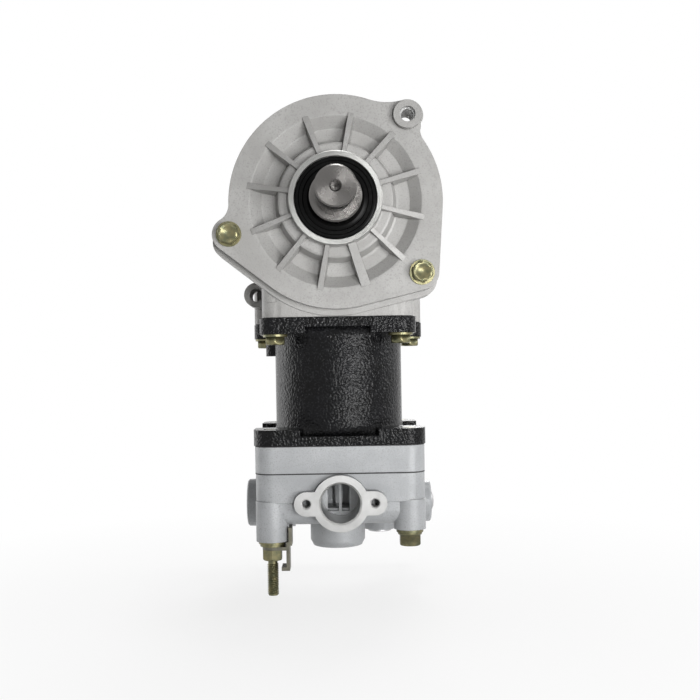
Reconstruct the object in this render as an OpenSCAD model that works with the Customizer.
// Engine air compressor: one cylinder, crank above, cylinder and head hanging below.
// X is to the right of the drive end, Y runs from the drive end to the rear, Z is up.
// The origin is on the crank axis, at the shoulder of the drive stub.

/* [Drive shaft] */
// Diameter of the stub that carries the drive hub
stub_d = 27; // [25:0.5:30]
// Length of the stub ahead of its shoulder
stub_len = 32; // [24:1:40]
// Diameter of the seal and bearing journals
journal_d = 35; // [34:0.5:36]
// Diameter of the centre drilling in the stub
centre_hole_d = 6; // [4:0.5:8]

/* [Crank train] */
// Throw of the crank, half the stroke
crank_throw = 23; // [20:0.5:24]
// Length of the connecting rod between its eyes
rod_len = 112; // [108:1:118]
// Diameter of the cylinder bore
bore_d = 80; // [78:0.5:82]
// Diameter of the crankpin
crankpin_d = 28; // [26:0.5:30]
// Diameter of the piston pin
piston_pin_d = 18; // [16:0.5:20]
// Height of the piston from its pin to its crown
crown_height = 30; // [28:0.5:32]
// Length of the piston skirt past its pin
skirt_len = 22; // [18:0.5:23]

/* [Front cover] */
// Radius of the round rim of the cover
rim_r = 73; // [71:0.5:75]
// Thickness of the cover at its rim
rim_t = 9; // [8:0.5:10]
// Radius of the dish inside the rim
dish_r = 60; // [57:0.5:61]
// Wall of the ring round the shaft seal
hub_wall = 4.1; // [3.5:0.1:5.1]
// Number of cooling ribs in the dish
rib_count = 12; // [8:1:16]
// Thickness of a rib at its top
rib_t = 3.6; // [3:0.2:4.6]
// Angle of the first rib above the X axis
rib_phase = 19; // [0:1:29]

/* [Crankcase] */
// Length of the crankcase from its front face to its rear face
case_len = 110; // [110:1:114]
// Drop of the cylinder joint below the crank axis
base_drop = 77.5; // [76:0.5:80]
// Thickness of the crankcase base flange
base_flange_t = 10.4; // [9:0.2:12]

/* [Cylinder] */
// Wall of the cylinder barrel
barrel_wall = 7; // [6:0.5:8.5]
// Width of the upper cylinder flange past the bore, on each side
upper_flange_out = 14.7; // [14:0.1:16]
// Width of the lower cylinder flange past the bore, on each side
lower_flange_out = 20; // [19.5:0.5:22]
// Thickness of a flange between its corner pads
flange_t = 6.5; // [6:0.5:8]
// Thickness of a flange at its corner pads
pad_t = 11.2; // [10:0.2:13]

/* [Head] */
// Thickness of the valve body between cylinder and head
valve_body_t = 18.2; // [17.8:0.1:20]
// Depth of the head from its joint to its underside
head_depth = 36; // [35.6:0.2:39]
// Distance of the head bolts outside the bore, along the width and the length
head_bolt_out = 8; // [7.5:0.25:9]
// Diameter of the inlet port
inlet_d = 26.8; // [24:0.4:28]
// Spacing of the two tapped holes beside the inlet port
inlet_hole_pitch = 47; // [45:0.5:50]
// Thread diameter of the tapped holes beside the inlet port
inlet_thread_d = 7; // [5:0.5:8]
// Thread diameter of the delivery port
delivery_thread_d = 22; // [18:1:24]

/* [Hidden] */
$fn = 72;

// Overrun that every cut takes past the face it opens
over = 1;
// Clearance of a part seated in a hole of its own size
seat_gap = 0.03;
// Running clearance of a pin in its bush
run_gap = 0.05;
// Clearance of a bolt in its hole, on the radius
bolt_gap = 0.4;
// Depth that a blend sinks into the circle it meets
blend_bite = 0.02;
// Small edge break on turned parts
edge_break = 1;

// Places along the shaft
hub_face_y = 8.5;
rim_face_y = 22.5;
gasket_t = 0.5;
case_front_y = rim_face_y + rim_t + gasket_t;
case_rear_y = case_front_y + case_len;
bore_axis_y = case_front_y + case_len / 2;

// Oil seal and ball bearings, standard sizes for this journal
seal_width = 10;
seal_section = 10;
seal_r = journal_d / 2 + seal_section;
hub_r = seal_r + hub_wall;
seal_shell_t = 1.2;
seal_lip_t = 1.6;
bearing_width = 17;
bearing_section = 18.5;
bearing_r = journal_d / 2 + bearing_section;
seal_room = 2;
front_bearing_y = hub_face_y + seal_width + seal_room;
rear_bearing_inset = 21;
rear_bearing_y = case_rear_y - rear_bearing_inset;
ball_r = 5.4;
ball_gap = 0.2;
ball_count = 9;
ball_circle_r = (journal_d / 2 + bearing_r) / 2;
race_spacing = 6;
race_t = (bearing_r - journal_d / 2 - race_spacing) / 2;
cage_t = 1.6;
cage_w = 13.6;
cage_pocket_gap = 0.1;

// Crankshaft
collar_step = 3.5;
collar_r = journal_d / 2 + collar_step;
rear_collar_len = 4.6;
web_hub_step = 4;
web_hub_r = collar_r + web_hub_step;
web_pin_r = 21;
web_side_gap = 0.3;
counterweight_gap = 8;
counterweight_angle = 62;
rod_width = 24;
rod_side_gap = 1.8;
web_inner_half = rod_width / 2 + rod_side_gap;
web_t = rear_bearing_y - rear_collar_len - bore_axis_y - web_inner_half;
front_web_y = bore_axis_y - web_inner_half - web_t;
rear_web_y = bore_axis_y + web_inner_half;
pin_z = -crank_throw;
oil_drill_d = 5;

// Connecting rod
rod_small_z = pin_z - rod_len;
shell_t = 2;
big_eye_wall = 8;
big_eye_r = crankpin_d / 2 + big_eye_wall;
rod_bolt_offset = 6.6;
rod_bolt_x = crankpin_d / 2 + rod_bolt_offset;
rod_bolt_d = 8;
rod_bolt_boss_r = 6.4;
rod_boss_h = 12;
rod_bolt_head_af = 12;
rod_bolt_head_h = 5;
rod_spot_r = 7.6;
rod_bolt_len = 30;
bush_t = 2;
small_eye_wall = 6.4;
small_eye_r = piston_pin_d / 2 + small_eye_wall;
shank_top_w = 26;
shank_low_w = 20;
shank_t = 16;
shank_web_t = 5;
shank_edge = 4;

// Piston and its rings
piston_gap = 0.3;
ring_gap = 0.12;
piston_r = bore_d / 2 - piston_gap;
crown_z = rod_small_z - crown_height;
crown_t = 8;
skirt_t = 4.4;
pin_boss_wall = 5;
pin_boss_r = piston_pin_d / 2 + pin_boss_wall;
pin_boss_gap = 1;
pin_inset = 9;
pin_len = bore_d - 2 * pin_inset;
circlip_t = 1.4;
circlip_bite = 1;
circlip_r = piston_pin_d / 2 + circlip_bite;
ring_depth = 3.6;
ring_axial_gap = 0.06;
top_land = 6;
top_ring_z = crown_z + top_land;
top_ring_h = 2.5;
second_land = 3.5;
second_ring_z = top_ring_z + top_ring_h + second_land;
second_ring_h = 2.5;
third_land = 3;
oil_ring_z = second_ring_z + second_ring_h + third_land;
oil_ring_h = 4;
ring_split_w = 0.6;
top_ring_angle = 40;
second_ring_angle = 220;
oil_ring_angle = 130;

// Cover outline: angle, radius and bolt circle of the three ears
ear_out = 3;
ear_circle_r = rim_r + ear_out;
upper_ear_angle = 49.3;
left_ear_angle = 196.2;
right_ear_angle = 319.7;
upper_ear_r = 11;
left_ear_r = 11.6;
right_ear_r = 11.8;
long_blend_r = 40;
short_blend_r = 12;
cover_bolt_d = 8;
ear_boss_r = 9.6;
ear_boss_h = 4.6;
ear_hole_d = 8.4;
ear_counterbore_d = 10.6;
ear_counterbore_depth = 4;

// Cover section
dish_floor_share = 0.3824;
dish_depth = 5.6;
dish_floor_y = rim_face_y + dish_depth;
housing_wall = 5;
housing_r = bearing_r + housing_wall;
housing_foot_draft = 2;
housing_foot_r = housing_r + housing_foot_draft;
housing_crest_draft = 1.6;
housing_crest_r = housing_r - housing_crest_draft;
dish_floor_r = housing_foot_r + dish_floor_share * (dish_r - housing_foot_r);
shelf_rise = 5.6;
shelf_y = rim_face_y - shelf_rise;
shelf_fillet = 1.8;
rim_fillet = 1.4;
hub_fillet = 1.2;
floor_t = 5.5;
spigot_depth = 6;
spigot_t = 5;
rib_hub_drop = 3.4;
rib_hub_y = hub_face_y + rib_hub_drop;
rib_draft = 1.8;
wide_rib_extra = 2.6;
wide_rib_index = 9;
cover_back_share = 0.62;
cover_back_r = dish_floor_r + cover_back_share * (dish_r - dish_floor_r);

// Crankcase body
drum_step = 1.2;
drum_r = rim_r - drum_step;
drum_neck = 2.4;
rear_flange_t = 12;
drum_wall = 8;
cavity_r = rim_r - drum_wall;
counterweight_r = cavity_r - counterweight_gap;
case_flange_t = 11;
case_swell = 4.2;
case_swell_straight = 14;
case_swell_len = 34;
ear_seat_r = 7.6;
rear_wall_lip = 2.2;
rear_wall_y = rear_bearing_y - rear_wall_lip;
rear_pilot_wall = 9;
rear_pilot_r = bearing_r + rear_pilot_wall;
rear_pilot_h = 4;
rear_hole_inset = 12.8;
rear_hole_circle_r = drum_r - rear_hole_inset;
rear_thread_d = 10;
rear_thread_depth = 16;
rear_relief_depth = 1.4;
skirt_out = 7.5;
skirt_w = bore_d + 2 * skirt_out;
skirt_inset = 1.4;
skirt_front_y = case_front_y + skirt_inset;
base_corner_r = 9;
base_trim = 1.6;
front_base_bolt_out = 4;
front_base_bolt_x = bore_d / 2 + front_base_bolt_out;
rear_base_bolt_out = 17;
rear_base_bolt_x = bore_d / 2 + rear_base_bolt_out;
base_bolt_inset = 11.5;
base_bolt_front_y = case_front_y + base_bolt_inset;
base_bolt_rear_y = case_rear_y - base_bolt_inset;
base_bolt_d = 8;
spigot_h = 8;
spigot_wall = 3;
lug_out = 14;
lug_x = -skirt_w / 2 - lug_out;
lug_rise = 21;
lug_z = lug_rise - base_drop;
lug_back = 45;
lug_y = case_rear_y - lug_back;
lug_len = 26;
lug_r = 9.4;
lug_hole_d = 10;
lug_web_t = 9;

// Cylinder
joint_z = -base_drop;
cylinder_top_z = joint_z - gasket_t;
crown_gap = 1.6;
deck_z = crown_z - crown_gap;
upper_flange_w = bore_d + 2 * upper_flange_out;
upper_flange_inset = 0.3;
upper_flange_len = case_len - 2 * upper_flange_inset;
upper_corner_r = 10;
upper_pad_w = 32;
rear_ear_r = 9.4;
rear_boss_len = 14;
rear_boss_r = 8;
rear_boss_out = 8;
rear_boss_x = -bore_d / 2 - rear_boss_out;
rear_boss_back = 26;
rear_boss_y = bore_axis_y + rear_boss_back;
lower_flange_w = bore_d + 2 * lower_flange_out;
lower_corner_r = 14;
lower_pad_w = 33;
barrel_flare_h = 7;
barrel_flare_out = 6;
barrel_r = bore_d / 2 + barrel_wall;
bore_chamfer = 1.2;
head_bolt_x = bore_d / 2 + head_bolt_out;

// Valve body and valves
valve_body_trim = 0.8;
valve_body_w = lower_flange_w - 2 * valve_body_trim;
valve_body_corner_r = 13;
joint_gasket_t = 0.6;
valve_top_z = deck_z - joint_gasket_t;
valve_bottom_z = valve_top_z - valve_body_t;
head_gasket_t = 0.8;
head_top_z = valve_bottom_z - head_gasket_t;
inlet_valve_offset = 19;
delivery_valve_offset = 20;
inlet_valve_y = bore_axis_y - inlet_valve_offset;
delivery_valve_y = bore_axis_y + delivery_valve_offset;
inlet_seat_r = 11;
inlet_pocket_r = 15;
delivery_seat_r = 9;
delivery_pocket_r = 13;
valve_pocket_depth = 8;
valve_disc_t = 1.4;
valve_side_gap = 0.6;
valve_seat_gap = 0.02;
guard_t = 1.8;
guard_hole_r = 2.6;
guard_hole_count = 6;
guard_hole_share = 0.62;
spring_wire = 0.8;
spring_turns = 3;
spring_sides = 6;
spring_steps = 14;
spring_end_gap = 0.02;

// Head block
head_trim = 1;
head_w = lower_flange_w - 2 * head_trim;
head_corner_r = 13;
head_bottom_z = head_top_z - head_depth;
head_part_drop = 19.5;
head_part_z = head_top_z - head_part_drop;
belly_inset = 2.4;
belly_round_r = 11;
column_r = 11.2;
stud_column_drop = 10.6;
stud_column_z = head_bottom_z - stud_column_drop;
column_drop = 3.6;
column_z = head_bottom_z - column_drop;
head_bolt_d = 10;
port_ring_wall = 6;
port_ring_r = inlet_d / 2 + port_ring_wall;
port_sink = 0.1;
port_z = head_top_z - port_ring_r - port_sink;
port_reach = 6.5;
port_face_y = bore_axis_y - head_w / 2 - port_reach;
port_chamfer = 1.3;
port_arm_r = 8.3;
port_arm_t = 7;
port_thread_depth = 15;
window_w = 15.6;
window_h = 20;
window_x = -1.4;
window_wall_t = 2.4;
post_w = 2;
post_x = -0.2;
chamber_front = 9.1;
port_depth = inlet_valve_y - chamber_front - window_wall_t - port_face_y;
chamber_w = 40;
chamber_len = 24;
chamber_h = 28;
chamber_r = 4;
outlet_chamber_w = 50;
outlet_chamber_len = 26;
centre_boss_r = 20;
centre_boss_x = -2.4;
centre_boss_front = 13;
centre_boss_y = bore_axis_y - centre_boss_front;
centre_boss_drop = 20;
centre_boss_z = head_bottom_z - centre_boss_drop;
centre_boss_round = 4;
rear_boss_hub_r = 13;
rear_boss_hub_x = 30;
rear_boss_hub_back = 24;
rear_boss_hub_y = bore_axis_y + rear_boss_hub_back;
rear_boss_hub_drop = 15;
rear_boss_hub_z = head_bottom_z - rear_boss_hub_drop;
side_port_drop = 27.5;
side_port_z = head_top_z - side_port_drop;
left_boss_wall = 6.5;
left_boss_r = delivery_thread_d / 2 + left_boss_wall;
left_boss_reach = 10.4;
left_boss_x = head_w / 2 + left_boss_reach;
left_boss_back = 6;
left_boss_y = bore_axis_y + left_boss_back;
delivery_depth = 20;
right_boss_r = 15.2;
right_boss_reach = 8;
right_boss_x = head_w / 2 + right_boss_reach;
right_boss_y = bore_axis_y;
plug_r = 7.9;
plug_dome = 2.4;
plug_depth = 12;
plug_socket_af = 8;
plug_socket_depth = 4;
rear_plug_r = 8;
rear_plug_depth = 9;
rear_plug_head_h = 2;

// Unloader in the centre boss
unloader_bore_r = 11;
unloader_gap = 0.1;
unloader_r = unloader_bore_r - unloader_gap;
unloader_len = 9;
unloader_stem_r = 4;
unloader_stem_len = 8;
unloader_cap_t = 4;
unloader_cap_groove = 1.2;
unloader_bore_depth = 26;
unloader_top_z = centre_boss_z + unloader_bore_depth;
o_ring_r = 1.1;

// Fasteners
m8_af = 13;
m8_head_h = 5.6;
m8_washer_r = 8.6;
m8_washer_t = 1.6;
m8_washer_hole_r = 4.4;
cover_bolt_len = 26;
base_bolt_len = 20;
m10_af = 14;
m10_head_h = 9.4;
m10_flange_t = 1.8;
m10_flange_r = 8.8;
m10_washer_t = 2.2;
m10_washer_r = 9.4;
m10_washer_hole_r = 5.3;
stud_tip_d = 8;
stud_pitch_d = 7.2;
stud_tip_len = 38;
stud_washer_r = 9.6;
stud_washer_t = 1.8;
stud_nut_h = 7.4;
bracket_t = 2.4;
bracket_w = 14;
bracket_gap = 0.3;
bracket_drop = 14;
bracket_tab_rise = 10;
bracket_lip = 3.4;
hex_chamfer = 1.2;

// Flat outline from y0 to y1, drawn with X to the right and Z up
module slab_y(y0, y1) {
  translate([0, y1, 0]) rotate([90, 0, 0]) linear_extrude(y1 - y0) children();
}

// Flat outline from z0 up to z1
module slab_z(z0, z1) {
  translate([0, 0, z0]) linear_extrude(z1 - z0) children();
}

// Turned shape about the shaft axis, drawn as radius and Y
module turned_y() {
  rotate([-90, 0, 0]) rotate_extrude() children();
}

// Turned shape about the cylinder axis, drawn as radius and Z
module turned_z(y) {
  translate([0, y, 0]) rotate_extrude() children();
}

// Round bar along Y
module bar_y(x, z, r, y0, y1) {
  translate([x, y0, z]) rotate([-90, 0, 0]) cylinder(h = y1 - y0, r = r);
}

// Round bar along Z
module bar_z(x, y, r, z0, z1) {
  translate([x, y, z0]) cylinder(h = z1 - z0, r = r);
}

// Rectangle with round corners
module round_rect(x0, x1, y0, y1, r) {
  translate([x0 + r, y0]) square([x1 - x0 - 2 * r, y1 - y0]);
  translate([x0, y0 + r]) square([x1 - x0, y1 - y0 - 2 * r]);
  for (x = [x0 + r, x1 - r], y = [y0 + r, y1 - r]) translate([x, y]) circle(r);
}

// Ear on a round plate, with one straight side that touches both circles
module straight_side(big_r, a, d, ear_r, way) {
  t = a + way * acos((big_r - ear_r) / d);
  p = d * [cos(a), sin(a)];
  u = [cos(t), sin(t)];
  polygon([[0, 0], p, p + (ear_r - blend_bite) * u, (big_r - blend_bite) * u]);
}

// Ear on a round plate, with one hollow side of the given radius
module hollow_side(big_r, a, d, ear_r, blend_r, way) {
  s1 = big_r + blend_r;
  s2 = ear_r + blend_r;
  t = a + way * acos((s1 * s1 + d * d - s2 * s2) / (2 * s1 * d));
  c = s1 * [cos(t), sin(t)];
  difference() {
    polygon([[0, 0], d * [cos(a), sin(a)], c]);
    translate(c) circle(blend_r + blend_bite);
  }
}

// Outline that the cover, its gasket and the crankcase face share
module cover_outline(grow = 0) {
  r = rim_r + grow;
  circle(r);
  for (e = [[upper_ear_angle, upper_ear_r], [left_ear_angle, left_ear_r], [right_ear_angle, right_ear_r]])
    translate(ear_circle_r * [cos(e[0]), sin(e[0])]) circle(e[1] + grow);
  hollow_side(r, upper_ear_angle, ear_circle_r, upper_ear_r + grow, long_blend_r, 1);
  hollow_side(r, upper_ear_angle, ear_circle_r, upper_ear_r + grow, short_blend_r, -1);
  hollow_side(r, left_ear_angle, ear_circle_r, left_ear_r + grow, short_blend_r, -1);
  straight_side(r, left_ear_angle, ear_circle_r, left_ear_r + grow, 1);
  straight_side(r, right_ear_angle, ear_circle_r, right_ear_r + grow, 1);
  straight_side(r, right_ear_angle, ear_circle_r, right_ear_r + grow, -1);
}

// Centre of an ear on the bolt circle, as X and Z
function ear_at(a) = ear_circle_r * [cos(a), sin(a)];

// Section of the cover between two parallel turned skins
module cover_section() {
  polygon([
    [seal_r, hub_face_y + edge_break / 2],
    [seal_r + edge_break / 2, hub_face_y],
    [hub_r - edge_break / 2, hub_face_y],
    [hub_r, hub_face_y + edge_break / 2],
    [hub_r, shelf_y - hub_fillet],
    [hub_r + hub_fillet * (1 - sin(45)), shelf_y - hub_fillet * (1 - sin(45))],
    [hub_r + hub_fillet, shelf_y],
    [housing_crest_r - shelf_fillet, shelf_y],
    [housing_crest_r - shelf_fillet * (1 - sin(45)), shelf_y + shelf_fillet * (1 - sin(45))],
    [housing_crest_r, shelf_y + shelf_fillet],
    [housing_r, dish_floor_y - shelf_fillet],
    [housing_r + shelf_fillet * (1 - sin(45)), dish_floor_y - shelf_fillet * (1 - sin(45))],
    [housing_foot_r, dish_floor_y],
    [dish_floor_r, dish_floor_y],
    [dish_floor_r + rim_fillet, dish_floor_y - rim_fillet * (1 - sin(60))],
    [dish_r - rim_fillet, rim_face_y + rim_fillet * (1 - sin(60))],
    [dish_r, rim_face_y],
    [dish_r + over, rim_face_y],
    [dish_r + over, rim_face_y + rim_t],
    [cover_back_r, rim_face_y + rim_t],
    [dish_floor_r, dish_floor_y + floor_t],
    [housing_r + floor_t, dish_floor_y + floor_t],
    [housing_r, front_bearing_y + bearing_width + edge_break],
    [bearing_r + seat_gap + edge_break, front_bearing_y + bearing_width + edge_break],
    [bearing_r + seat_gap, front_bearing_y + bearing_width],
    [bearing_r + seat_gap, front_bearing_y],
    [seal_r, front_bearing_y]
  ]);
}

// One rib: a straight web whose top falls from the seal ring to the rim
module rib(a, t) {
  foot = t + rib_draft;
  rotate([0, -a, 0])
    intersection() {
      rib_body(t, foot);
      translate([0, 0, -foot]) linear_extrude(2 * foot) rib_side();
    }
}

// Side view of a rib, as radius and Y
module rib_side() {
  polygon([
    [hub_r - edge_break, rib_hub_y],
    [dish_r + over, rim_face_y - over * (rim_face_y - rib_hub_y) / (dish_r - hub_r)],
    [dish_r + over, rim_face_y + rim_t / 2],
    [dish_floor_r, dish_floor_y + floor_t / 2],
    [housing_r + edge_break, dish_floor_y + floor_t / 2],
    [housing_crest_r, shelf_y + edge_break],
    [hub_r - edge_break, shelf_y + edge_break]
  ]);
}

// Cross-section of a rib with draft, run along the radius
module rib_body(t, foot) {
  rotate([90, 0, 90]) linear_extrude(dish_r + 2 * over)
    polygon([
      [rib_hub_y - over, t / 2 - edge_break / 2],
      [rib_hub_y - over, -t / 2 + edge_break / 2],
      [dish_floor_y + floor_t, -foot / 2],
      [dish_floor_y + floor_t, foot / 2]
    ]);
}

// Ear holes of the cover and what lies behind it
module ear_holes(r, y0, y1) {
  for (a = [left_ear_angle, right_ear_angle]) bar_y(ear_at(a)[0], ear_at(a)[1], r, y0, y1);
}

module front_cover() {
  color("silver")
    difference() {
      union() {
        difference() {
          slab_y(rim_face_y, rim_face_y + rim_t) cover_outline();
          bar_y(0, 0, dish_r, rim_face_y - over, rim_face_y + rim_t + over);
        }
        turned_y() cover_section();
        difference() {
          bar_y(0, 0, cavity_r - seat_gap, rim_face_y + rim_t - over, rim_face_y + rim_t + spigot_depth);
          bar_y(0, 0, cavity_r - spigot_t, rim_face_y, rim_face_y + rim_t + spigot_depth + over);
        }
        for (i = [0 : rib_count - 1])
          rib(rib_phase + i * 360 / rib_count, rib_t + (i == wide_rib_index ? wide_rib_extra : 0));
        bar_y(ear_at(upper_ear_angle)[0], ear_at(upper_ear_angle)[1], ear_boss_r, rim_face_y - ear_boss_h,
          rim_face_y + over);
      }
      ear_holes(cover_bolt_d / 2 + bolt_gap, rim_face_y - over, rim_face_y + rim_t + over);
      bar_y(ear_at(upper_ear_angle)[0], ear_at(upper_ear_angle)[1], ear_hole_d / 2,
        rim_face_y - ear_boss_h - over, rim_face_y + rim_t + over);
      bar_y(ear_at(upper_ear_angle)[0], ear_at(upper_ear_angle)[1], ear_counterbore_d / 2,
        rim_face_y - ear_boss_h - over, rim_face_y - ear_boss_h + ear_counterbore_depth);
    }
}

module cover_gasket() {
  color("dimgray")
    difference() {
      union() {
        slab_y(rim_face_y + rim_t, case_front_y) cover_outline();
        bar_y(0, 0, rim_r, rim_face_y + rim_t, case_front_y);
      }
      bar_y(0, 0, cavity_r + seat_gap, rim_face_y, case_front_y + over);
      for (a = [left_ear_angle, right_ear_angle, upper_ear_angle])
        bar_y(ear_at(a)[0], ear_at(a)[1], cover_bolt_d / 2 + bolt_gap, rim_face_y, case_front_y + over);
    }
}

module shaft_oil_seal() {
  lip_r = journal_d / 2 + run_gap;
  back_y = hub_face_y + seal_width;
  color("black")
    turned_y()
      polygon([
        [seal_r - seat_gap, hub_face_y + edge_break],
        [seal_r - seal_shell_t, hub_face_y + edge_break / 2],
        [seal_r - 2 * seal_shell_t, hub_face_y + edge_break / 2],
        [seal_r - 2.5 * seal_shell_t, hub_face_y + edge_break],
        [lip_r + 3 * seal_lip_t, hub_face_y + edge_break],
        [lip_r + 2.6 * seal_lip_t, hub_face_y + 1.5 * edge_break],
        [lip_r + 2 * seal_lip_t, hub_face_y + edge_break],
        [lip_r + seal_lip_t, hub_face_y + edge_break / 2],
        [lip_r, hub_face_y + edge_break],
        [lip_r, hub_face_y + edge_break + seal_lip_t],
        [lip_r + seal_lip_t, hub_face_y + 2 * edge_break + seal_lip_t],
        [lip_r, back_y - 2 * seal_lip_t],
        [lip_r, back_y - seal_lip_t],
        [lip_r + seal_lip_t, back_y - edge_break],
        [lip_r + 2 * seal_lip_t, back_y - edge_break],
        [lip_r + 2.6 * seal_lip_t, hub_face_y + 3 * seal_lip_t],
        [seal_r - seal_shell_t, hub_face_y + 3 * seal_lip_t],
        [seal_r - seal_shell_t, back_y],
        [seal_r - seat_gap, back_y]
      ]);
}

// Hexagon head or nut whose far edges are turned off, from z = 0 upwards
module hex_block(af, h) {
  corner_r = af / 2 / cos(30);
  intersection() {
    cylinder(h = h, r = corner_r, $fn = 6);
    cylinder(h = h, r1 = corner_r + h - hex_chamfer, r2 = corner_r - hex_chamfer);
  }
}

// Bolt with its head upwards from z = 0 and its shank downwards
module bolt(d, shank, af, head) {
  hex_block(af, head);
  translate([0, 0, -shank]) cylinder(h = shank + edge_break / 2, r = d / 2);
  translate([0, 0, -shank - edge_break]) cylinder(h = edge_break, r1 = d / 2 - edge_break, r2 = d / 2);
}

module cover_bolts() {
  color("darkkhaki")
    for (a = [left_ear_angle, right_ear_angle])
      translate([ear_at(a)[0], rim_face_y - m8_washer_t, ear_at(a)[1]]) rotate([90, a, 0])
        bolt(cover_bolt_d, cover_bolt_len, m8_af, m8_head_h);
}

module cover_bolt_washers() {
  color("darkkhaki")
    for (a = [left_ear_angle, right_ear_angle])
      translate([ear_at(a)[0], rim_face_y, ear_at(a)[1]]) rotate([90, 0, 0])
        difference() {
          cylinder(h = m8_washer_t, r = m8_washer_r);
          translate([0, 0, -over]) cylinder(h = m8_washer_t + 2 * over, r = m8_washer_hole_r);
        }
}

// Outer race of a ball bearing that starts at y
module outer_race(y) {
  turned_y()
    difference() {
      translate([bearing_r - race_t, y]) square([race_t, bearing_width]);
      translate([ball_circle_r, y + bearing_width / 2]) circle(ball_r + ball_gap);
    }
}

// Inner race of a ball bearing that starts at y
module inner_race(y) {
  turned_y()
    difference() {
      translate([journal_d / 2 + seat_gap, y]) square([race_t - seat_gap, bearing_width]);
      translate([ball_circle_r, y + bearing_width / 2]) circle(ball_r + ball_gap);
    }
}

// Balls of a bearing that starts at y
module balls(y) {
  for (i = [0 : ball_count - 1])
    rotate([0, i * 360 / ball_count, 0])
      translate([ball_circle_r, y + bearing_width / 2, 0]) sphere(ball_r);
}

// Cage of a bearing that starts at y
module cage(y) {
  difference() {
    turned_y()
      translate([ball_circle_r - cage_t / 2, y + (bearing_width - cage_w) / 2]) square([cage_t, cage_w]);
    for (i = [0 : ball_count - 1])
      rotate([0, i * 360 / ball_count, 0]) translate([ball_circle_r - 2 * cage_t, y + bearing_width / 2, 0])
        rotate([0, 90, 0]) cylinder(h = 4 * cage_t, r = ball_r + cage_pocket_gap);
  }
}

module front_bearing_outer_race() {
  color("lightsteelblue") outer_race(front_bearing_y);
}

module front_bearing_inner_race() {
  color("lightsteelblue") inner_race(front_bearing_y);
}

module front_bearing_balls() {
  color("whitesmoke") balls(front_bearing_y);
}

module front_bearing_cage() {
  color("peru") cage(front_bearing_y);
}

module rear_bearing_outer_race() {
  color("lightsteelblue") outer_race(rear_bearing_y);
}

module rear_bearing_inner_race() {
  color("lightsteelblue") inner_race(rear_bearing_y);
}

module rear_bearing_balls() {
  color("whitesmoke") balls(rear_bearing_y);
}

module rear_bearing_cage() {
  color("peru") cage(rear_bearing_y);
}

// Crank web with its counterweight opposite the crankpin
module web_outline() {
  circle(web_hub_r);
  translate([0, pin_z]) circle(web_pin_r);
  d = crank_throw;
  t = acos((web_hub_r - web_pin_r) / d);
  for (s = [-1, 1])
    polygon([
      [0, 0],
      [0, pin_z],
      [s * web_pin_r * sin(t), pin_z - web_pin_r * cos(t)],
      [s * web_hub_r * sin(t), -web_hub_r * cos(t)]
    ]);
  intersection() {
    circle(counterweight_r);
    polygon([
      [0, -web_hub_r / 2],
      2 * counterweight_r * [sin(counterweight_angle), cos(counterweight_angle)],
      [0, 2 * counterweight_r],
      2 * counterweight_r * [-sin(counterweight_angle), cos(counterweight_angle)]
    ]);
  }
}

module crankshaft() {
  front_end_y = -stub_len;
  rear_end_y = rear_bearing_y + bearing_width + edge_break;
  color("gainsboro")
    difference() {
      union() {
        turned_y()
          polygon([
            [0, front_end_y],
            [stub_d / 2 - edge_break, front_end_y],
            [stub_d / 2, front_end_y + edge_break],
            [stub_d / 2, 0],
            [journal_d / 2 - edge_break, 0],
            [journal_d / 2, edge_break],
            [journal_d / 2, front_bearing_y + bearing_width],
            [collar_r, front_bearing_y + bearing_width],
            [collar_r, front_web_y + over],
            [0, front_web_y + over]
          ]);
        turned_y()
          polygon([
            [0, rear_web_y + web_t - over],
            [collar_r, rear_web_y + web_t - over],
            [collar_r, rear_bearing_y],
            [journal_d / 2, rear_bearing_y],
            [journal_d / 2, rear_end_y - edge_break],
            [journal_d / 2 - edge_break, rear_end_y],
            [0, rear_end_y]
          ]);
        slab_y(front_web_y, front_web_y + web_t) web_outline();
        slab_y(rear_web_y, rear_web_y + web_t) web_outline();
      }
      bar_y(0, 0, centre_hole_d / 2, front_end_y - over, front_end_y + 2 * centre_hole_d);
      translate([0, front_end_y - over, 0]) rotate([-90, 0, 0])
        cylinder(h = 2 * over, r1 = centre_hole_d / 2 + 2 * over, r2 = centre_hole_d / 2);
    }
}

module crankpin() {
  color("gainsboro")
    difference() {
      bar_y(0, pin_z, crankpin_d / 2, bore_axis_y - web_inner_half + web_side_gap,
        bore_axis_y + web_inner_half - web_side_gap);
      bar_y(0, pin_z, oil_drill_d / 2, bore_axis_y - web_inner_half, bore_axis_y + web_inner_half);
    }
}

// Big end of the rod with both bolt bosses, seen along the shaft
module big_end_outline() {
  translate([0, pin_z]) circle(big_eye_r);
  translate([-rod_bolt_x - rod_bolt_boss_r, pin_z - rod_boss_h])
    square([2 * (rod_bolt_x + rod_bolt_boss_r), 2 * rod_boss_h]);
}

// Bore of the big end and the two bolt holes
module big_end_bores() {
  bar_y(0, pin_z, crankpin_d / 2 + shell_t + seat_gap, bore_axis_y - rod_width, bore_axis_y + rod_width);
  for (s = [-1, 1])
    bar_z(s * rod_bolt_x, bore_axis_y, rod_bolt_d / 2 + seat_gap, pin_z - rod_boss_h - big_eye_r,
      pin_z + rod_boss_h + big_eye_r);
}

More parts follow.
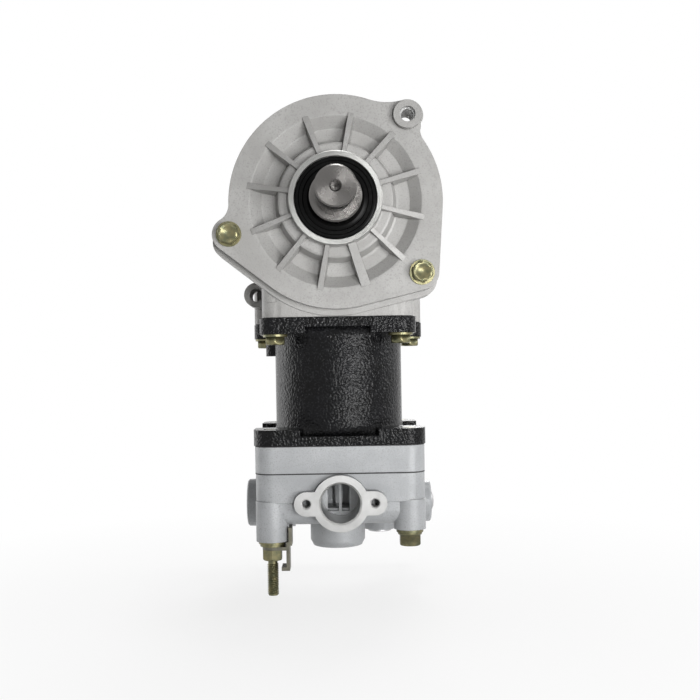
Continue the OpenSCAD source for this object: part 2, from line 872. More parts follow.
module connecting_rod() {
  y0 = bore_axis_y - rod_width / 2;
  y1 = bore_axis_y + rod_width / 2;
  shank_y0 = bore_axis_y - shank_t / 2;
  shank_y1 = bore_axis_y + shank_t / 2;
  shank_top_z = pin_z - big_eye_r + 2 * over;
  shank_low_z = rod_small_z + small_eye_r - 2 * over;
  color("gray")
    difference() {
      union() {
        intersection() {
          slab_y(y0, y1) big_end_outline();
          slab_z(pin_z - 2 * big_eye_r, pin_z)
            translate([-2 * big_eye_r, y0 - over]) square([4 * big_eye_r, rod_width + 2 * over]);
        }
        slab_y(y0 + over, y1 - over) translate([0, rod_small_z]) circle(small_eye_r);
        slab_y(shank_y0, shank_y1)
          polygon([
            [-shank_top_w / 2, shank_top_z],
            [shank_top_w / 2, shank_top_z],
            [shank_low_w / 2, shank_low_z],
            [-shank_low_w / 2, shank_low_z]
          ]);
      }
      big_end_bores();
      bar_y(0, rod_small_z, piston_pin_d / 2 + run_gap + bush_t + seat_gap, y0 - over, y1 + over);
      for (span = [[shank_y0 - over, bore_axis_y - shank_web_t / 2], [bore_axis_y + shank_web_t / 2, shank_y1 + over]])
        slab_y(span[0], span[1])
          polygon([
            [-shank_top_w / 2 + shank_edge, shank_top_z - shank_edge],
            [shank_top_w / 2 - shank_edge, shank_top_z - shank_edge],
            [shank_low_w / 2 - shank_edge, shank_low_z + shank_edge],
            [-shank_low_w / 2 + shank_edge, shank_low_z + shank_edge]
          ]);
    }
}

module rod_cap() {
  y0 = bore_axis_y - rod_width / 2;
  color("gray")
    difference() {
      intersection() {
        slab_y(y0, y0 + rod_width) big_end_outline();
        slab_z(pin_z, pin_z + 2 * big_eye_r)
          translate([-2 * big_eye_r, y0 - over]) square([4 * big_eye_r, rod_width + 2 * over]);
      }
      big_end_bores();
      for (s = [-1, 1])
        bar_z(s * rod_bolt_x, bore_axis_y, rod_spot_r, pin_z + rod_boss_h, pin_z + 2 * big_eye_r);
    }
}

module rod_bolts() {
  color("dimgray")
    for (s = [-1, 1])
      translate([s * rod_bolt_x, bore_axis_y, pin_z + rod_boss_h])
        bolt(rod_bolt_d, rod_bolt_len - edge_break - rod_boss_h / 2, rod_bolt_head_af, rod_bolt_head_h);
}

module big_end_shells() {
  half = rod_width / 2 - over;
  color("darkgoldenrod")
    difference() {
      bar_y(0, pin_z, crankpin_d / 2 + shell_t, bore_axis_y - half, bore_axis_y + half);
      bar_y(0, pin_z, crankpin_d / 2 + seat_gap, bore_axis_y - half - over, bore_axis_y + half + over);
      slab_z(pin_z - seat_gap, pin_z + seat_gap)
        translate([-big_eye_r, bore_axis_y - rod_width]) square([2 * big_eye_r, 2 * rod_width]);
    }
}

module small_end_bush() {
  half = rod_width / 2 - over;
  color("darkgoldenrod")
    difference() {
      bar_y(0, rod_small_z, piston_pin_d / 2 + run_gap + bush_t, bore_axis_y - half, bore_axis_y + half);
      bar_y(0, rod_small_z, piston_pin_d / 2 + run_gap, bore_axis_y - half - over, bore_axis_y + half + over);
    }
}

// Groove for a ring of height h that starts at z
module ring_groove(z, h) {
  turned_z(bore_axis_y)
    translate([piston_r - ring_depth, z - ring_axial_gap])
      square([ring_depth + over, h + 2 * ring_axial_gap]);
}

module piston() {
  skirt_end_z = rod_small_z + skirt_len;
  boss_half = rod_width / 2 + pin_boss_gap;
  color("gainsboro")
    difference() {
      union() {
        difference() {
          turned_z(bore_axis_y)
            polygon([
              [0, crown_z],
              [piston_r - edge_break, crown_z],
              [piston_r, crown_z + edge_break],
              [piston_r, skirt_end_z],
              [piston_r - skirt_t, skirt_end_z],
              [piston_r - skirt_t, oil_ring_z + oil_ring_h + 2 * skirt_t],
              [piston_r - 2 * skirt_t, oil_ring_z + oil_ring_h],
              [piston_r - 2 * skirt_t, crown_z + crown_t + edge_break],
              [piston_r - 2 * skirt_t - edge_break, crown_z + crown_t],
              [0, crown_z + crown_t]
            ]);
        }
        intersection() {
          difference() {
            bar_y(0, rod_small_z, pin_boss_r, bore_axis_y - piston_r, bore_axis_y + piston_r);
            slab_y(bore_axis_y - boss_half, bore_axis_y + boss_half)
              translate([-2 * pin_boss_r, rod_small_z - 2 * pin_boss_r]) square(4 * pin_boss_r);
          }
          bar_z(0, bore_axis_y, piston_r - skirt_t / 2, crown_z, skirt_end_z);
        }
        for (s = [-1, 1])
          intersection() {
            translate([-pin_boss_r / 2, bore_axis_y + (s > 0 ? boss_half : -piston_r), crown_z + crown_t / 2])
              cube([pin_boss_r, piston_r - boss_half, crown_height - crown_t / 2]);
            bar_z(0, bore_axis_y, piston_r - skirt_t / 2, crown_z, skirt_end_z);
          }
      }
      bar_y(0, rod_small_z, piston_pin_d / 2 + seat_gap, bore_axis_y - bore_d, bore_axis_y + bore_d);
      for (s = [-1, 1])
        bar_y(0, rod_small_z, circlip_r + seat_gap,
          bore_axis_y + s * (pin_len / 2 + circlip_t / 2) - circlip_t / 2 - seat_gap,
          bore_axis_y + s * (pin_len / 2 + circlip_t / 2) + circlip_t / 2 + seat_gap);
      ring_groove(top_ring_z, top_ring_h);
      ring_groove(second_ring_z, second_ring_h);
      ring_groove(oil_ring_z, oil_ring_h);
    }
}

module piston_pin() {
  color("whitesmoke")
    difference() {
      bar_y(0, rod_small_z, piston_pin_d / 2, bore_axis_y - pin_len / 2, bore_axis_y + pin_len / 2);
      bar_y(0, rod_small_z, piston_pin_d / 4, bore_axis_y - bore_d, bore_axis_y + bore_d);
    }
}

module pin_circlips() {
  color("dimgray")
    for (s = [-1, 1])
      difference() {
        bar_y(0, rod_small_z, circlip_r, bore_axis_y + s * (pin_len / 2 + circlip_t / 2) - circlip_t / 2,
          bore_axis_y + s * (pin_len / 2 + circlip_t / 2) + circlip_t / 2);
        bar_y(0, rod_small_z, circlip_r - 2 * circlip_t, bore_axis_y - bore_d, bore_axis_y + bore_d);
        translate([-circlip_t, bore_axis_y - bore_d, rod_small_z])
          cube([2 * circlip_t, 2 * bore_d, circlip_r + over]);
      }
}

// Split ring of height h that starts at z, with its gap towards angle a
module split_ring(z, h, a) {
  difference() {
    turned_z(bore_axis_y)
      translate([piston_r - ring_depth + ring_gap, z])
        square([ring_depth - ring_gap + piston_gap - ring_gap, h]);
    translate([0, bore_axis_y, z - over]) rotate([0, 0, a])
      translate([0, -ring_split_w / 2, 0]) cube([bore_d, ring_split_w, h + 2 * over]);
  }
}

module top_ring() {
  color("slategray") split_ring(top_ring_z, top_ring_h, top_ring_angle);
}

module second_ring() {
  color("slategray") split_ring(second_ring_z, second_ring_h, second_ring_angle);
}

module oil_ring() {
  color("slategray")
    difference() {
      split_ring(oil_ring_z, oil_ring_h, oil_ring_angle);
      turned_z(bore_axis_y)
        translate([piston_r - ring_gap * 4, oil_ring_z + oil_ring_h / 3]) square([bore_d, oil_ring_h / 3]);
    }
}

// Ears and corners of the base joint, shared by crankcase, gasket and cylinder
module base_outline(trim) {
  x = upper_flange_w / 2 - trim;
  y0 = bore_axis_y - upper_flange_len / 2 + trim;
  y1 = bore_axis_y + upper_flange_len / 2 - trim;
  round_rect(-x, x, y0, y1, upper_corner_r);
  for (s = [-1, 1]) {
    translate([s * rear_base_bolt_x, base_bolt_rear_y]) circle(rear_ear_r - trim);
    polygon([
      [0, base_bolt_rear_y - rear_ear_r + trim],
      [s * rear_base_bolt_x, base_bolt_rear_y - rear_ear_r + trim],
      [s * rear_base_bolt_x, base_bolt_rear_y + rear_ear_r - trim],
      [0, base_bolt_rear_y + rear_ear_r - trim]
    ]);
  }
}

// Four base bolt places
function base_bolts_at() = [
  [-front_base_bolt_x, base_bolt_front_y],
  [front_base_bolt_x, base_bolt_front_y],
  [-rear_base_bolt_x, base_bolt_rear_y],
  [rear_base_bolt_x, base_bolt_rear_y]
];

// Outside of the drum: a flange at each end and a slightly tapered barrel between
module drum_section() {
  back_r = drum_r - drum_neck;
  polygon([
    [0, case_front_y + over],
    [drum_r, case_front_y + over],
    [drum_r, case_front_y + case_flange_t],
    [drum_r - drum_neck / 3, case_front_y + case_flange_t + drum_neck],
    [back_r, case_rear_y - rear_flange_t - drum_neck],
    [back_r + drum_neck / 3, case_rear_y - rear_flange_t - drum_neck / 3],
    [drum_r, case_rear_y - rear_flange_t],
    [drum_r, case_rear_y - edge_break],
    [drum_r - edge_break, case_rear_y],
    [0, case_rear_y]
  ]);
}

// Cone that fades the swollen front end into the drum
module swell_section() {
  reach = ear_circle_r + right_ear_r + case_swell;
  polygon([
    [0, case_front_y - over],
    [reach, case_front_y - over],
    [reach, case_front_y + case_swell_straight],
    [drum_r - drum_neck, case_front_y + case_swell_len],
    [drum_r - drum_neck, case_front_y + case_swell_len + over],
    [0, case_front_y + case_swell_len + over]
  ]);
}

module crankcase() {
  skirt_x = skirt_w / 2;
  color("silver")
    difference() {
      union() {
        slab_y(case_front_y, case_front_y + case_flange_t) cover_outline();
        turned_y() drum_section();
        intersection() {
          slab_y(case_front_y, case_front_y + case_swell_len)
            translate([-case_swell / 6, -case_swell]) cover_outline();
          turned_y() swell_section();
        }
        bar_y(0, 0, rear_pilot_r, case_rear_y - over, case_rear_y + rear_pilot_h);
        slab_z(joint_z, joint_z + base_flange_t) base_outline(base_trim);
        slab_z(joint_z, -cavity_r / 2)
          round_rect(-skirt_x, skirt_x, skirt_front_y, case_rear_y - over, base_corner_r);
        for (p = base_bolts_at())
          intersection() {
            bar_z(p[0], p[1], base_corner_r, joint_z, joint_z + 2.6 * base_flange_t);
            translate([-rim_r, case_front_y, joint_z - over]) cube([2 * rim_r, case_len, rim_r]);
          }
        bar_y(lug_x, lug_z, lug_r, lug_y, lug_y + lug_len);
        slab_y(lug_y, lug_y + lug_len)
          polygon([
            [lug_x, lug_z + lug_r],
            [-skirt_x + over, lug_z + lug_r + lug_web_t],
            [-skirt_x + over, lug_z - lug_r + edge_break],
            [lug_x, lug_z - lug_r + edge_break]
          ]);
      }
      translate([-2 * rim_r, case_front_y - over, joint_z - 2 * rim_r]) cube([4 * rim_r, 2 * case_len, 2 * rim_r]);
      bar_y(0, 0, cavity_r, case_front_y - over, rear_wall_y);
      bar_y(0, 0, bearing_r + seat_gap, rear_wall_y - over, rear_bearing_y + bearing_width);
      bar_y(0, 0, bearing_r - race_t, rear_wall_y, rear_bearing_y + bearing_width + rear_relief_depth);
      bar_z(0, bore_axis_y, bore_d / 2 + spigot_wall + seat_gap, joint_z - over, 0);
      for (a = [left_ear_angle, right_ear_angle])
        bar_y(ear_at(a)[0], ear_at(a)[1], cover_bolt_d / 2 + seat_gap, case_front_y - over,
          case_front_y + cover_bolt_len - rim_t);
      bar_y(ear_at(upper_ear_angle)[0], ear_at(upper_ear_angle)[1], ear_hole_d / 2, case_front_y - over,
        case_front_y + case_flange_t + over);
      bar_y(ear_at(upper_ear_angle)[0], ear_at(upper_ear_angle)[1], ear_seat_r, case_front_y + case_flange_t,
        case_front_y + case_swell_len + over);
      for (p = base_bolts_at())
        bar_z(p[0], p[1], base_bolt_d / 2 + seat_gap, joint_z - over, joint_z + base_bolt_len - pad_t + 2 * over);
      bar_y(lug_x, lug_z, lug_hole_d / 2, lug_y - over, lug_y + lug_len + over);
      for (i = [0 : 3])
        rotate([0, 45 + i * 90, 0])
          bar_y(rear_hole_circle_r, 0, rear_thread_d / 2, case_rear_y - rear_thread_depth, case_rear_y + over);
    }
}

module base_gasket() {
  color("dimgray")
    difference() {
      union() {
        slab_z(cylinder_top_z, joint_z) base_outline(base_trim);
        bar_z(0, bore_axis_y, skirt_w / 2, cylinder_top_z, joint_z);
      }
      bar_z(0, bore_axis_y, bore_d / 2 + spigot_wall + 2 * seat_gap, cylinder_top_z - over, joint_z + over);
      for (p = base_bolts_at())
        bar_z(p[0], p[1], base_bolt_d / 2 + bolt_gap, cylinder_top_z - over, joint_z + over);
    }
}

// Pads at the four corners of a square flange, with a hollow between neighbours
module corner_pads(half, pad_w) {
  gap = half - pad_w;
  difference() {
    children();
    translate([-gap, bore_axis_y - 2 * half]) square([2 * gap, 4 * half]);
    translate([-2 * half, bore_axis_y - gap]) square([4 * half, 2 * gap]);
  }
}

module cylinder_outline() {
  w = lower_flange_w / 2;
  round_rect(-w, w, bore_axis_y - w, bore_axis_y + w, lower_corner_r);
}

// Body of the cylinder: spigot, barrel with flared ends, turned about the bore
module barrel_section() {
  top = cylinder_top_z - flange_t;
  low = deck_z + flange_t;
  r = barrel_r;
  out = barrel_flare_out;
  h = barrel_flare_h;
  steps = 5;
  polygon(concat(
    [[bore_d / 2 - over, joint_z + spigot_h], [bore_d / 2 + spigot_wall, joint_z + spigot_h]],
    [[bore_d / 2 + spigot_wall, cylinder_top_z - over], [r + out, cylinder_top_z - over]],
    [for (i = [0 : steps]) [r + out * (1 - sin(i * 90 / steps)), top - h * (1 - cos(i * 90 / steps))]],
    [for (i = [0 : steps]) [r + out * (1 - cos(i * 90 / steps)), low + h * (1 - sin(i * 90 / steps))]],
    [[r + out, deck_z + over], [bore_d / 2 - over, deck_z + over]]
  ));
}

module cylinder_body() {
  turned_z(bore_axis_y) barrel_section();
}

module cylinder_part() {
  color([0.12, 0.12, 0.12])
    difference() {
      union() {
        cylinder_body();
        slab_z(cylinder_top_z - flange_t, cylinder_top_z) base_outline(0);
        slab_z(cylinder_top_z - pad_t, cylinder_top_z - flange_t + over)
          corner_pads(upper_flange_w / 2, upper_pad_w) base_outline(0);
        bar_z(rear_boss_x, rear_boss_y, rear_boss_r, cylinder_top_z - pad_t - rear_boss_len,
          cylinder_top_z - flange_t);
        slab_z(deck_z, deck_z + flange_t) cylinder_outline();
        slab_z(deck_z + flange_t - over, deck_z + pad_t)
          corner_pads(lower_flange_w / 2, lower_pad_w) cylinder_outline();
      }
      bar_z(0, bore_axis_y, bore_d / 2, deck_z - over, joint_z + spigot_h + over);
      translate([0, bore_axis_y, joint_z + spigot_h - bore_chamfer])
        cylinder(h = bore_chamfer + over, r1 = bore_d / 2, r2 = bore_d / 2 + bore_chamfer + over);
      for (p = base_bolts_at()) {
        bar_z(p[0], p[1], base_bolt_d / 2 + bolt_gap, cylinder_top_z - pad_t - over, cylinder_top_z + over);
        bar_z(p[0], p[1], m8_washer_r + bolt_gap, cylinder_top_z - pad_t - 2 * m8_head_h, cylinder_top_z - pad_t);
      }
      for (x = [-head_bolt_x, head_bolt_x], y = [-head_bolt_x, head_bolt_x])
        bar_z(x, bore_axis_y + y, head_bolt_d / 2 + seat_gap, deck_z - over, deck_z + pad_t + over);
    }
}

module base_bolts() {
  color("darkkhaki")
    for (p = base_bolts_at())
      translate([p[0], p[1], cylinder_top_z - pad_t - m8_washer_t]) rotate([180, 0, 30])
        bolt(base_bolt_d, base_bolt_len, m8_af, m8_head_h);
}

module base_bolt_washers() {
  color("darkkhaki")
    for (p = base_bolts_at())
      translate([p[0], p[1], cylinder_top_z - pad_t - m8_washer_t])
        difference() {
          cylinder(h = m8_washer_t, r = m8_washer_r);
          translate([0, 0, -over]) cylinder(h = m8_washer_t + 2 * over, r = m8_washer_hole_r);
        }
}

// Square joint face of the valve body and head gaskets
module square_joint(w, r) {
  round_rect(-w / 2, w / 2, bore_axis_y - w / 2, bore_axis_y + w / 2, r);
}

// Four head bolt places, the first one with the stud
function head_bolts_at() = [
  [-head_bolt_x, bore_axis_y - head_bolt_x],
  [head_bolt_x, bore_axis_y - head_bolt_x],
  [-head_bolt_x, bore_axis_y + head_bolt_x],
  [head_bolt_x, bore_axis_y + head_bolt_x]
];

// Bolt holes through the joint, as flat circles
module head_bolt_circles(r) {
  for (p = head_bolts_at()) translate(p) circle(r);
}

module cylinder_gasket() {
  color("dimgray")
    slab_z(valve_top_z, deck_z)
      difference() {
        square_joint(valve_body_w, valve_body_corner_r);
        translate([0, bore_axis_y]) circle(bore_d / 2);
        head_bolt_circles(head_bolt_d / 2 + bolt_gap);
      }
}

module valve_body() {
  color("silver")
    difference() {
      slab_z(valve_bottom_z, valve_top_z)
        difference() {
          square_joint(valve_body_w, valve_body_corner_r);
          head_bolt_circles(head_bolt_d / 2 + bolt_gap);
        }
      bar_z(0, inlet_valve_y, inlet_seat_r, valve_bottom_z - over, valve_top_z + over);
      bar_z(0, inlet_valve_y, inlet_pocket_r, valve_top_z - valve_pocket_depth, valve_top_z + over);
      bar_z(0, delivery_valve_y, delivery_seat_r, valve_bottom_z - over, valve_top_z + over);
      bar_z(0, delivery_valve_y, delivery_pocket_r, valve_bottom_z - over, valve_bottom_z + valve_pocket_depth);
    }
}

// Coil of a small valve spring: one tube along a helix, from z0 up to z1
module coil(x, y, r, z0, z1) {
  n = spring_turns * spring_steps;
  h = z1 - z0 - spring_wire;
  rings = [for (i = [0 : n]) [for (k = [0 : spring_sides - 1])
    let (a = i * 360 / spring_steps, b = k * 360 / spring_sides, w = spring_wire / 2)
    [x + (r + w * cos(b)) * cos(a), y + (r + w * cos(b)) * sin(a), z0 + w + h * i / n + w * sin(b)]]];
  points = [for (ring = rings) each ring];
  s = spring_sides;
  skin = [for (i = [0 : n - 1], k = [0 : s - 1])
    each [[i * s + k, (i + 1) * s + k, (i + 1) * s + (k + 1) % s],
      [i * s + k, (i + 1) * s + (k + 1) % s, i * s + (k + 1) % s]]];
  polyhedron(points, concat([[for (k = [0 : s - 1]) k]], skin, [[for (k = [s - 1 : -1 : 0]) n * s + k]]));
}

// Guard of a valve: a disc with a ring of gas holes
module guard(x, y, r, z) {
  difference() {
    bar_z(x, y, r, z, z + guard_t);
    for (i = [0 : guard_hole_count - 1])
      bar_z(x + r * guard_hole_share * cos(i * 360 / guard_hole_count),
        y + r * guard_hole_share * sin(i * 360 / guard_hole_count), guard_hole_r, z - over, z + guard_t + over);
  }
}

// Heights inside the inlet valve pocket
inlet_disc_z = valve_top_z - valve_pocket_depth + valve_seat_gap;
inlet_guard_z = valve_top_z - guard_t - spring_end_gap;
// Heights inside the delivery valve pocket
delivery_disc_z = valve_bottom_z + valve_pocket_depth - valve_disc_t - valve_seat_gap;
delivery_guard_z = valve_bottom_z + spring_end_gap;

module inlet_valve_disc() {
  color("lightsteelblue")
    bar_z(0, inlet_valve_y, inlet_pocket_r - valve_side_gap, inlet_disc_z, inlet_disc_z + valve_disc_t);
}

module inlet_valve_spring() {
  color("darkgray")
    coil(0, inlet_valve_y, inlet_seat_r - 2 * spring_wire, inlet_disc_z + valve_disc_t + spring_end_gap,
      inlet_guard_z - spring_end_gap);
}

module inlet_valve_retainer() {
  color("dimgray") guard(0, inlet_valve_y, inlet_pocket_r - seat_gap, inlet_guard_z);
}

module delivery_valve_disc() {
  color("lightsteelblue")
    bar_z(0, delivery_valve_y, delivery_pocket_r - valve_side_gap, delivery_disc_z, delivery_disc_z + valve_disc_t);
}

module delivery_valve_spring() {
  color("darkgray")
    coil(0, delivery_valve_y, delivery_seat_r - 2 * spring_wire, delivery_guard_z + guard_t + spring_end_gap,
      delivery_disc_z - spring_end_gap);
}

module delivery_valve_stop() {
  color("dimgray") guard(0, delivery_valve_y, delivery_pocket_r - seat_gap, delivery_guard_z);
}

module head_gasket() {
  color("dimgray")
    slab_z(head_top_z, valve_bottom_z)
      difference() {
        square_joint(valve_body_w, valve_body_corner_r);
        translate([0, inlet_valve_y]) circle(inlet_seat_r);
        translate([0, delivery_valve_y]) circle(delivery_pocket_r - guard_t);
        head_bolt_circles(head_bolt_d / 2 + bolt_gap);
      }
}

// Rounded underside of the head, from two crossed profiles
module head_belly() {
  half = head_w / 2 - belly_inset;
  intersection() {
    slab_y(bore_axis_y - half, bore_axis_y + half)
      belly_profile(-half, half);
    translate([-half, 0, 0]) rotate([90, 0, 90]) linear_extrude(2 * half)
      belly_profile(bore_axis_y - half, bore_axis_y + half);
    slab_z(head_bottom_z - over, head_top_z) square_joint(2 * half, head_corner_r - belly_inset);
  }
}

// Side view of the belly: square at the top, round at the bottom
module belly_profile(a, b) {
  r = belly_round_r;
  translate([a, head_bottom_z + r]) square([b - a, head_part_z - head_bottom_z - r + over]);
  translate([a + r, head_bottom_z]) square([b - a - 2 * r, r + over]);
  for (x = [a + r, b - r]) translate([x, head_bottom_z + r]) circle(r);
}

// Machined face of the inlet port with its two arms
module port_face() {
  translate([0, port_z]) circle(port_ring_r);
  for (s = [-1, 1]) {
    translate([s * inlet_hole_pitch / 2, port_z]) circle(port_arm_r);
    translate([s * inlet_hole_pitch / 4 - inlet_hole_pitch / 4, port_z - port_arm_r])
      square([inlet_hole_pitch / 2, 2 * port_arm_r]);
  }
}

// Side port boss along X, from the block out to x
module side_boss(x, y, z, r) {
  translate([0, y, z]) rotate([0, x > 0 ? 90 : -90, 0])
    rotate_extrude()
      polygon([
        [0, abs(x) - 2 * r],
        [r + edge_break, abs(x) - 2 * r],
        [r, abs(x) - edge_break],
        [r - edge_break, abs(x)],
        [0, abs(x)]
      ]);
}

module cylinder_head() {
  chamber_top = head_top_z + over;
  in_y0 = inlet_valve_y - chamber_front;
  out_y0 = in_y0 + chamber_len + 3 * window_wall_t;
  color("lightgray")
    difference() {
      union() {
        slab_z(head_part_z, head_top_z) square_joint(head_w, head_corner_r);
        head_belly();
        for (i = [0 : 3])
          bar_z(head_bolts_at()[i][0], head_bolts_at()[i][1], column_r, i == 0 ? stud_column_z : column_z,
            head_part_z + over);
        slab_y(port_face_y, port_face_y + port_arm_t + 2 * over) port_face();
        bar_y(0, port_z, port_ring_r, port_face_y + over, port_face_y + port_depth);
        bar_z(centre_boss_x, centre_boss_y, centre_boss_r, centre_boss_z + centre_boss_round, head_part_z);
        translate([centre_boss_x, centre_boss_y, centre_boss_z])
          cylinder(h = centre_boss_round, r1 = centre_boss_r - centre_boss_round / 2, r2 = centre_boss_r);
        bar_z(rear_boss_hub_x, rear_boss_hub_y, rear_boss_hub_r, rear_boss_hub_z, head_part_z);
        side_boss(-left_boss_x, left_boss_y, side_port_z, left_boss_r);
        side_boss(right_boss_x, right_boss_y, side_port_z, right_boss_r);
      }
      bar_y(0, port_z, inlet_d / 2, port_face_y - over, port_face_y + port_depth);
      translate([0, port_face_y - over, port_z]) rotate([-90, 0, 0])
        cylinder(h = port_chamfer + over, r1 = inlet_d / 2 + port_chamfer + over, r2 = inlet_d / 2);
      for (s = [-1, 1])
        bar_y(s * inlet_hole_pitch / 2, port_z, inlet_thread_d / 2, port_face_y - over,
          port_face_y + port_thread_depth);
      difference() {
        translate([window_x - window_w / 2, port_face_y + port_depth - over, port_z - window_h / 2])
          cube([window_w, window_wall_t + 2 * over, window_h]);
        translate([post_x - post_w / 2, port_face_y, port_z - window_h])
          cube([post_w, port_depth + 2 * window_wall_t, 2 * window_h]);
      }
      slab_z(head_top_z - chamber_h, chamber_top)
        round_rect(-chamber_w / 2, chamber_w / 2, in_y0, in_y0 + chamber_len, chamber_r);
      slab_z(head_top_z - chamber_h, chamber_top)
        round_rect(-outlet_chamber_w / 2, outlet_chamber_w / 2, out_y0, out_y0 + outlet_chamber_len, chamber_r);
      translate([-left_boss_x - over, left_boss_y, side_port_z]) rotate([0, 90, 0])
        cylinder(h = delivery_depth + over, r = delivery_thread_d / 2);
      translate([-left_boss_x, left_boss_y, side_port_z]) rotate([0, 90, 0])
        cylinder(h = left_boss_x - chamber_w / 4, r = delivery_thread_d / 3);
      translate([right_boss_x + over, right_boss_y, side_port_z]) rotate([0, -90, 0])
        cylinder(h = plug_depth + over, r = plug_r);
      bar_z(rear_boss_hub_x, rear_boss_hub_y, rear_plug_r, rear_boss_hub_z - over, rear_boss_hub_z + rear_plug_depth);
      for (i = [0 : 3])
        bar_z(head_bolts_at()[i][0], head_bolts_at()[i][1], head_bolt_d / 2 + bolt_gap, stud_column_z - over,
          head_top_z + over);
      bar_z(centre_boss_x, centre_boss_y, unloader_bore_r, centre_boss_z - over, unloader_top_z);
      bar_z(centre_boss_x, centre_boss_y, unloader_stem_r + valve_side_gap, unloader_top_z - over, chamber_top);
    }
}

module head_bolts() {
  color("darkkhaki")
    for (i = [1 : 3])
      translate([head_bolts_at()[i][0], head_bolts_at()[i][1], column_z - m10_washer_t]) rotate([180, 0, 30]) {
        translate([0, 0, m10_flange_t]) hex_block(m10_af, m10_head_h - m10_flange_t);
        cylinder(h = m10_flange_t, r1 = m10_flange_r, r2 = m10_flange_r - edge_break / 2);
        translate([0, 0, column_z - m10_washer_t - deck_z - pad_t])
          cylinder(h = deck_z + pad_t - column_z + m10_washer_t + edge_break, r = head_bolt_d / 2);
      }
}

module head_bolt_washers() {
  color("darkkhaki")
    for (i = [1 : 3])
      difference() {
        bar_z(head_bolts_at()[i][0], head_bolts_at()[i][1], m10_washer_r, column_z - m10_washer_t, column_z);
        bar_z(head_bolts_at()[i][0], head_bolts_at()[i][1], m10_washer_hole_r, column_z - m10_washer_t - over,
          column_z + over);
      }
}

// Stack under the stud column: two washers, the bracket foot and the nut
stud_at = head_bolts_at()[0];
washer_low_z = stud_column_z - 2 * stud_washer_t;
foot_low_z = washer_low_z - bracket_t;
nut_low_z = foot_low_z - stud_nut_h;

module head_stud() {
  color("darkkhaki") {
    bar_z(stud_at[0], stud_at[1], head_bolt_d / 2, stud_column_z + over, deck_z + pad_t);
    bar_z(stud_at[0], stud_at[1], stud_pitch_d / 2, nut_low_z - over, stud_column_z + 2 * over);
    bar_z(stud_at[0], stud_at[1], stud_tip_d / 2, stud_column_z - stud_tip_len + edge_break, nut_low_z);
    translate([stud_at[0], stud_at[1], stud_column_z - stud_tip_len])
      cylinder(h = edge_break, r1 = stud_tip_d / 2 - edge_break, r2 = stud_tip_d / 2);
  }
}

module stud_washers() {
  color("darkkhaki")
    for (k = [0, 1])
      difference() {
        bar_z(stud_at[0], stud_at[1], stud_washer_r - k * edge_break, stud_column_z - (k + 1) * stud_washer_t,
          stud_column_z - k * stud_washer_t);
        bar_z(stud_at[0], stud_at[1], stud_tip_d / 2 + run_gap, washer_low_z - over, stud_column_z + over);
      }
}

module stud_nut() {
  color("darkkhaki")
    difference() {
      translate([stud_at[0], stud_at[1], foot_low_z]) rotate([180, 0, 30]) hex_block(m8_af, stud_nut_h);
      bar_z(stud_at[0], stud_at[1], stud_pitch_d / 2 + seat_gap, nut_low_z - over, foot_low_z + over);
    }
}

// Bent strip held under the stud nut, with a leg beside the nut and a stepped tab
module pipe_bracket() {
  x0 = stud_at[0];
  leg_x = x0 + stud_washer_r + bracket_gap + bracket_t;
  tab_x = x0 + column_r + bracket_gap + bracket_t;
  step_z = stud_column_z - bracket_gap;
  low_z = foot_low_z - bracket_drop;
  color("darkkhaki")
    difference() {
      union() {
        slab_z(foot_low_z, washer_low_z) {
          translate([x0, stud_at[1]]) circle(bracket_w / 2);
          translate([x0, stud_at[1] - bracket_w / 2]) square([leg_x - x0, bracket_w]);
        }
        slab_y(stud_at[1] - bracket_w / 2, stud_at[1] + bracket_w / 2)
          polygon([
            [leg_x - bracket_t, step_z],
            [leg_x - bracket_t, low_z + bracket_t],
            [leg_x - bracket_t - bracket_lip, low_z + bracket_t],
            [leg_x - bracket_t - bracket_lip, low_z],
            [leg_x, low_z],
            [leg_x, step_z - bracket_t],
            [tab_x, step_z - bracket_t],
            [tab_x, step_z + bracket_tab_rise],
            [tab_x - bracket_t, step_z + bracket_tab_rise],
            [tab_x - bracket_t, step_z]
          ]);
      }
      bar_z(x0, stud_at[1], stud_tip_d / 2 + run_gap, foot_low_z - over, washer_low_z + over);
    }
}

module water_plug() {
  color("darkgray")
    translate([right_boss_x - plug_depth, right_boss_y, side_port_z]) rotate([0, 90, 0])
      difference() {
        union() {
          cylinder(h = plug_depth, r = plug_r - seat_gap);
          rotate_extrude()
            polygon([
              [0, plug_depth],
              [plug_r - seat_gap, plug_depth],
              [plug_r - edge_break, plug_depth + plug_dome / 2],
              [plug_r / 2, plug_depth + plug_dome],
              [0, plug_depth + plug_dome]
            ]);
        }
        translate([0, 0, plug_depth + plug_dome - plug_socket_depth])
          cylinder(h = plug_socket_depth + over, r = plug_socket_af / 2 / cos(30), $fn = 6);
      }
}

module rear_boss_plug() {
  color("darkgray")
    difference() {
      union() {
        bar_z(rear_boss_hub_x, rear_boss_hub_y, rear_plug_r - seat_gap, rear_boss_hub_z,
          rear_boss_hub_z + rear_plug_depth);
        bar_z(rear_boss_hub_x, rear_boss_hub_y, rear_plug_r + edge_break, rear_boss_hub_z - rear_plug_head_h,
          rear_boss_hub_z);
      }
      translate([rear_boss_hub_x, rear_boss_hub_y, rear_boss_hub_z - rear_plug_head_h - over])
        cylinder(h = plug_socket_depth + over, r = plug_socket_af / 2 / cos(30), $fn = 6);
    }
}

// Heights inside the unloader bore
cap_z = centre_boss_z + edge_break;
plunger_z = cap_z + unloader_cap_t + seat_gap;
plunger_top_z = plunger_z + unloader_len;

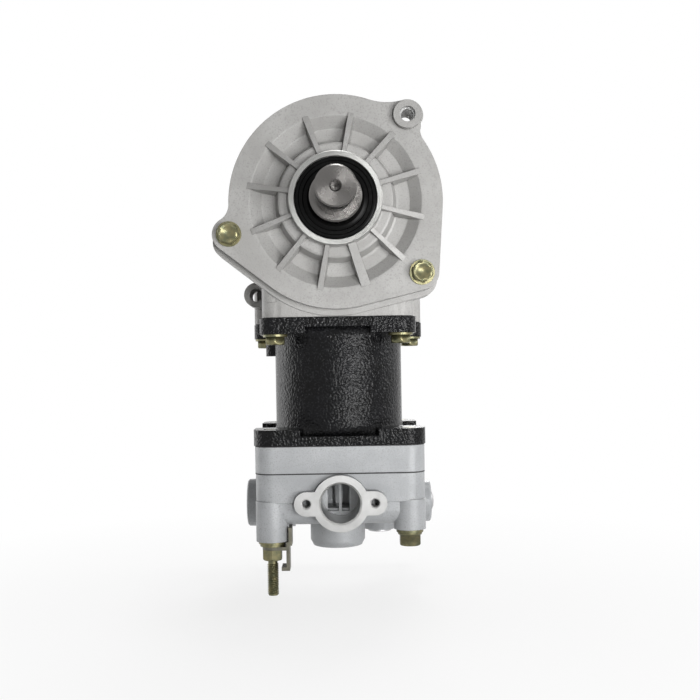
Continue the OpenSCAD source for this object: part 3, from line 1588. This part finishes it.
module unloader_plunger() {
  groove_z = plunger_z + unloader_len / 2;
  color("gainsboro")
    translate([centre_boss_x, centre_boss_y, 0])
      rotate_extrude()
        difference() {
          union() {
            translate([0, plunger_z]) square([unloader_r, unloader_len]);
            translate([0, plunger_top_z - over]) square([unloader_stem_r, unloader_stem_len + over]);
          }
          translate([unloader_bore_r - 2 * o_ring_r - 2 * run_gap, groove_z - 1.2 * o_ring_r])
            square([2.4 * o_ring_r, 2.4 * o_ring_r]);
        }
}

module unloader_seal() {
  color("black")
    translate([centre_boss_x, centre_boss_y, plunger_z + unloader_len / 2])
      rotate_extrude()
        translate([unloader_bore_r - o_ring_r - run_gap, 0]) circle(o_ring_r - run_gap);
}

module unloader_spring() {
  color("darkgray")
    coil(centre_boss_x, centre_boss_y, unloader_r - 3 * spring_wire, plunger_top_z + spring_end_gap,
      unloader_top_z - spring_end_gap);
}

module unloader_cap() {
  color("silver")
    translate([centre_boss_x, centre_boss_y, cap_z])
      difference() {
        cylinder(h = unloader_cap_t, r = unloader_bore_r - seat_gap);
        translate([0, 0, -over]) cylinder(h = unloader_cap_groove + over, r = unloader_stem_r);
      }
}

crankcase();
front_cover();
cover_gasket();
shaft_oil_seal();
cover_bolts();
cover_bolt_washers();
front_bearing_outer_race();
front_bearing_inner_race();
front_bearing_balls();
front_bearing_cage();
rear_bearing_outer_race();
rear_bearing_inner_race();
rear_bearing_balls();
rear_bearing_cage();
crankshaft();
crankpin();
connecting_rod();
rod_cap();
rod_bolts();
big_end_shells();
small_end_bush();
piston();
piston_pin();
pin_circlips();
top_ring();
second_ring();
oil_ring();
cylinder_part();  // cylinder
base_gasket();
base_bolts();
base_bolt_washers();
cylinder_gasket();
valve_body();
inlet_valve_disc();
inlet_valve_spring();
inlet_valve_retainer();
delivery_valve_disc();
delivery_valve_spring();
delivery_valve_stop();
head_gasket();
cylinder_head();
head_bolts();
head_bolt_washers();
head_stud();
stud_washers();
stud_nut();
pipe_bracket();
water_plug();
rear_boss_plug();
unloader_plunger();
unloader_spring();
unloader_seal();
unloader_cap();
